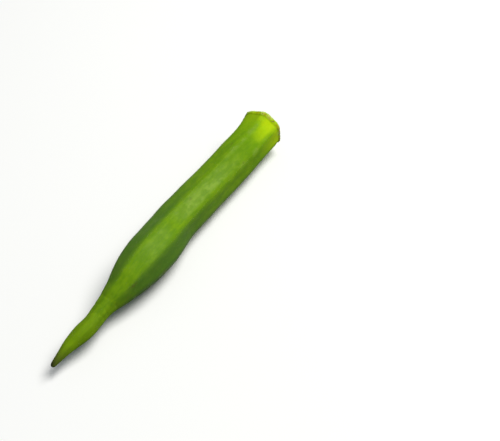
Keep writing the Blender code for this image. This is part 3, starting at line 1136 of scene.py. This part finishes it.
@dataclass
class StalkCut:
    """The pale cut face in the lip of the stub."""

    form: PodForm
    relief: Relief
    rings: int = 22
    columns: int = 98
    inside_lip: float = 0.00040
    sunk: float = 0.00012
    dome: float = 0.00016
    drag_height: float = 0.00005
    fibre_height: float = 0.00006
    fibre_place: float = 0.68
    fibre_width: float = 0.10
    fibres: int = 13
    pit_depth: float = 0.00003
    seed: int = 5

    def build(self, finish: CutFinish) -> bpy.types.Object:
        """Builds and dresses the cut, slightly domed and uneven from the blade."""
        form = self.form
        rng = np.random.default_rng(self.seed)
        out = np.linspace(0.0, 1.0, self.rings + 1)[1:]
        columns = form.ridges * np.arange(self.columns) / self.columns
        share, around = np.meshgrid(out, columns, indexing="ij")
        end = np.full_like(share, form.length)
        lip = form.outline(form.ridge_radius(end), form.rounding(end), around)
        reach = (lip + self.relief.lift(end, around, form) - self.inside_lip) * share
        turn = 2 * pi * around / form.ridges
        drag = self.drag_height * np.sin(9.0 * share * np.sin(turn + 0.6) + 1.0)
        in_ring = bump_at(share, self.fibre_place, self.fibre_width)
        fibres = self.fibre_height * in_ring * np.cos(self.fibres * turn + rng.uniform(0, 6))
        pits = self.pit_depth * rng.normal(size=share.shape)
        height = self.dome * (1 - share**2) + drag + fibres + pits * (share < 0.97)
        along, _, _ = form.directions(np.array([form.length]))
        middle = form.centre(np.array([form.length]))[0] + form.shift
        level = middle + along[0] * (height - self.sunk)[..., None]
        points = level + form.outward(end, around) * reach[..., None]
        every = np.concatenate((points.reshape(-1, 3), [middle + along[0] * (self.dome - self.sunk)]))
        grown = np.stack((reach * np.cos(turn), reach * np.sin(turn), height), axis=-1).reshape(-1, 3) / MM
        values = {
            PLACE: np.concatenate((grown, [(0.0, 0.0, self.dome / MM)])),
            ALONG: np.concatenate((reach.ravel(), [0.0])) / MM,
        }
        return make_piece("stalk_cut", every, self.faces(), finish.build(), values)

    def faces(self) -> Faces:
        """Rings of four-sided faces round a fan in the middle."""
        count = self.columns
        centre = self.rings * count
        found: Faces = [(centre, i, (i + 1) % count) for i in range(count)]
        for ring in range(self.rings - 1):
            low, high = ring * count, (ring + 1) * count
            found += [(low + i, high + i, high + (i + 1) % count, low + (i + 1) % count) for i in range(count)]
        return found


@dataclass
class RingShreds:
    """Dry shreds that the flower's foot left along the ring."""

    form: PodForm
    relief: Relief
    count: int = 30
    steps: int = 6
    shortest: float = 0.0007
    longest: float = 0.0030
    width: float = 0.00032
    thickness: float = 0.00007
    off_ring: Range = (-0.00075, 0.00005)
    wave: float = 0.0002
    curl: float = 0.00016
    seed: int = 23

    def build(self, finish: ShredFinish) -> bpy.types.Object:
        """Builds and dresses the shreds, each a thin curled strip that lies along the ring."""
        form = self.form
        rng = np.random.default_rng(self.seed)
        points: list[np.ndarray] = []
        faces: Faces = []
        for _ in range(self.count):
            length = rng.uniform(self.shortest, self.longest) * rng.uniform(0.5, 1.0)
            start = rng.uniform(0, form.ridges)
            span = length / form.cap_top_radius * form.ridges / (2 * pi)
            t = np.linspace(0.0, 1.0, self.steps)
            around = start + span * t
            middle = form.body_length + rng.uniform(*self.off_ring)
            middle = middle + self.wave * np.sin(3 * t + rng.uniform(0, 6))
            pointed = np.sqrt(np.sin(pi * (0.06 + 0.88 * t)))
            half = self.width * rng.uniform(0.4, 1.0) * pointed / 2
            curl = rng.uniform(0.0, self.curl) * t**2
            base = sum(len(strip) for strip in points)
            rows = []
            for edge, height in ((-1, 0.3), (1, 0.3), (1, 1.0), (-1, 1.0)):
                at = middle + edge * half
                lift = self.relief.lift(at, around, form) + self.thickness * (height - 0.6) + curl
                rows.append(form.skin(at, around, lift))
            points.append(np.stack(rows, axis=1).reshape(-1, 3))
            for step in range(self.steps - 1):
                low, high = base + step * 4, base + (step + 1) * 4
                faces += [(low + i, low + (i + 1) % 4, high + (i + 1) % 4, high + i) for i in range(4)]
            last = base + (self.steps - 1) * 4
            faces += [(base + 3, base + 2, base + 1, base), (last, last + 1, last + 2, last + 3)]
        every = np.concatenate(points)
        return make_piece("ring_shreds", every, faces, finish.build(), {PLACE: every / MM})


class HairBed(Enum):
    """Stretches of the skin on which hairs stand. On the crests they keep close to the ridges' tops."""

    BEAK = "beak"
    CRESTS = "crests"
    FACES = "faces"
    CAP = "cap"


@dataclass(frozen=True)
class HairStand:
    """How many hairs a bed has, where along the pod, their lengths, and how far from a crest they stand at most."""

    count: int
    start: float
    end: float
    shortest: float
    longest: float
    near_crest: float


@dataclass
class SkinHairs:
    """Short stiff hairs over the whole skin, closest along the crests."""

    form: PodForm
    relief: Relief
    thickness: float = 0.000022
    lean: float = 0.45
    drift: float = 0.28
    sunk: float = 0.00003
    seed: int = 41
    beds: dict[HairBed, HairStand] = field(
        default_factory=lambda: {
            HairBed.BEAK: HairStand(700, 0.003, 0.040, 0.00020, 0.00050, 0.50),
            HairBed.CRESTS: HairStand(2300, 0.035, 0.136, 0.00025, 0.00070, 0.09),
            HairBed.FACES: HairStand(1500, 0.035, 0.136, 0.00018, 0.00045, 0.50),
            HairBed.CAP: HairStand(500, 0.1385, 0.1430, 0.00025, 0.00075, 0.50),
        }
    )

    def build(self, finish: HairFinish) -> bpy.types.Object:
        """Builds and dresses the hairs, each a three-sided needle that leans towards the tip."""
        form = self.form
        rng = np.random.default_rng(self.seed)
        feet, middles, ends, sizes = [], [], [], []
        for bed, stand in self.beds.items():
            at = rng.uniform(stand.start, stand.end, stand.count)
            crest = rng.integers(0, form.ridges, stand.count) + 0.5
            around = crest + np.clip(rng.normal(0, 0.5, stand.count), -1, 1) * stand.near_crest
            if bed is not HairBed.CRESTS:
                around = rng.uniform(0, form.ridges, stand.count)
            length = rng.uniform(stand.shortest, stand.longest, stand.count)
            foot = form.skin(at, around, self.relief.lift(at, around, form) - self.sunk)
            along, _, _ = form.directions(at)
            out = form.outward(at, around)
            drift = rng.normal(0, self.drift, (stand.count, 3))
            first = unit(out + drift * 0.6 - along * self.lean * 0.4)
            then = unit(out + drift - along * self.lean * rng.uniform(0.5, 1.6, (stand.count, 1)))
            half = length[:, None] / 2
            feet.append(foot)
            middles.append(foot + first * half)
            ends.append(foot + (first + then) * half)
            sizes.append(np.full(stand.count, self.thickness) * rng.uniform(0.7, 1.3, stand.count))
        foot, middle, end = (np.concatenate(part) for part in (feet, middles, ends))
        size = np.concatenate(sizes)[:, None]
        keep = end[:, 2] > 0.0
        foot, middle, end, size = foot[keep], middle[keep], end[keep], size[keep]
        points, values = self.needles(foot, middle, end, size)
        return make_piece("skin_hairs", points, self.faces(len(foot)), finish.build(), values)

    def needles(
        self, foot: np.ndarray, middle: np.ndarray, end: np.ndarray, size: np.ndarray
    ) -> tuple[np.ndarray, dict[str, np.ndarray]]:
        """Points of all needles, and the values stored on them.

        Args:
            foot: where each needle stands.
            middle: where it bends.
            end: its sharp end.
            size: its radius at the foot.

        Returns:
            Seven points for each needle in a row, and their values by name.
        """
        direction = unit(end - foot)
        helper = np.where(np.abs(direction[:, :1]) < 0.8, np.array(((1.0, 0, 0),)), np.array(((0, 1.0, 0),)))
        first = unit(np.cross(direction, helper))
        second = np.cross(direction, first)
        corners = []
        for base, share in ((foot, 1.0), (middle, 0.7)):
            for corner in range(3):
                angle = 2 * pi * corner / 3
                corners.append(base + (first * cos(angle) + second * sin(angle)) * size * share)
        corners.append(end)
        points = np.stack(corners, axis=1).reshape(-1, 3)
        up = np.tile(np.array((0.0, 0.0, 0.0, 0.5, 0.5, 0.5, 1.0)), len(foot))
        return points, {PLACE: points / MM, ALONG: up}

    def faces(self, count: int) -> Faces:
        """Three long sides below the bend and three above it, for each needle."""
        found: Faces = []
        for hair in range(count):
            base = hair * 7
            for i in range(3):
                j = (i + 1) % 3
                found.append((base + i, base + j, base + 3 + j, base + 3 + i))
                found.append((base + 3 + i, base + 3 + j, base + 6))
        return found


# -------- Studio --------


@dataclass(frozen=True)
class SoftLight:
    """Square soft light that points at the pod."""

    name: str
    place: tuple[float, float, float]
    size: float
    power: float
    colour: Colour = (1.0, 1.0, 1.0)

    def build(self, target: Vector) -> bpy.types.Object:
        """Adds the light, turned to a point."""
        lamp = bpy.data.lights.new(self.name, "AREA")
        lamp.shape = "SQUARE"
        lamp.size = self.size
        lamp.energy = self.power
        lamp.color = self.colour
        light = bpy.data.objects.new(self.name, lamp)
        light.location = self.place
        light.rotation_mode = "QUATERNION"
        light.rotation_quaternion = (target - light.location).to_track_quat("-Z", "Y")
        bpy.context.scene.collection.objects.link(light)
        return light


@dataclass
class Studio:
    """Pale floor, soft lights and the camera."""

    camera_place: tuple[float, float, float] = (-0.15208, -0.11581, 0.19793)
    camera_azimuth: float = -60.98
    camera_elevation: float = 44.79
    lens: float = 50.0
    sensor: float = 36.0
    floor_size: float = 12.0
    sky_colour: Colour = (0.80, 0.93, 1.0)
    sky_strength: float = 0.15
    lights: Sequence[SoftLight] = (
        SoftLight("soft_box", (0.62, -0.55, 1.58), 1.15, 37.0, (1.0, 0.985, 0.95)),
    )

    def build(self, target: Vector) -> None:
        """Builds the floor, the sky, the lights and the camera round a point of the pod."""
        self.build_floor()
        self.build_sky()
        for light in self.lights:
            light.build(target)
        self.build_camera()

    def build_floor(self) -> None:
        """Lays the floor, which isn't part of the pod."""
        half = self.floor_size / 2
        mesh = bpy.data.meshes.new("floor")
        corners = [(-half, -half, 0.0), (half, -half, 0.0), (half, half, 0.0), (-half, half, 0.0)]
        mesh.from_pydata(corners, [], [(0, 1, 2, 3)])
        mesh.materials.append(FloorFinish().build())
        floor = bpy.data.objects.new("floor", mesh)
        bpy.context.scene.collection.objects.link(floor)

    def build_sky(self) -> None:
        """Sets an even soft light from all round, and plain display colours."""
        scene = bpy.context.scene
        world = bpy.data.worlds.new("soft_room")
        world.use_nodes = True
        background = world.node_tree.nodes["Background"]
        background.inputs["Color"].default_value = (*self.sky_colour, 1.0)
        background.inputs["Strength"].default_value = self.sky_strength
        scene.world = world
        scene.view_settings.view_transform = "Standard"

    def build_camera(self) -> None:
        """Sets the camera at the photograph's viewing angle."""
        lens = bpy.data.cameras.new("camera")
        lens.lens = self.lens
        lens.sensor_width = self.sensor
        lens.clip_start, lens.clip_end = 0.01, 20.0
        camera = bpy.data.objects.new("camera", lens)
        azimuth, elevation = radians(self.camera_azimuth), radians(self.camera_elevation)
        towards = Vector((-sin(azimuth) * cos(elevation), cos(azimuth) * cos(elevation), -sin(elevation)))
        camera.location = self.camera_place
        camera.rotation_mode = "QUATERNION"
        camera.rotation_quaternion = towards.to_track_quat("-Z", "Y")
        bpy.context.scene.collection.objects.link(camera)
        bpy.context.scene.camera = camera


def main() -> None:
    """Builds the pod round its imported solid, then the studio."""
    logging.basicConfig(level=logging.INFO, format="%(name)s: %(message)s")
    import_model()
    low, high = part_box(POD_NODE)
    form = PodForm()
    form.place_in(low, high)
    relief = Relief()
    skin_finish = SkinFinish(form.length / MM, form.body_length / MM, form.cap_end / MM)
    PodSkin(form, relief).build(skin_finish)
    StalkCut(form, relief).build(CutFinish())
    RingShreds(form, relief).build(ShredFinish())
    SkinHairs(form, relief).build(HairFinish())
    Studio().build((low + high) / 2)


if __name__ == "__main__":
    main()
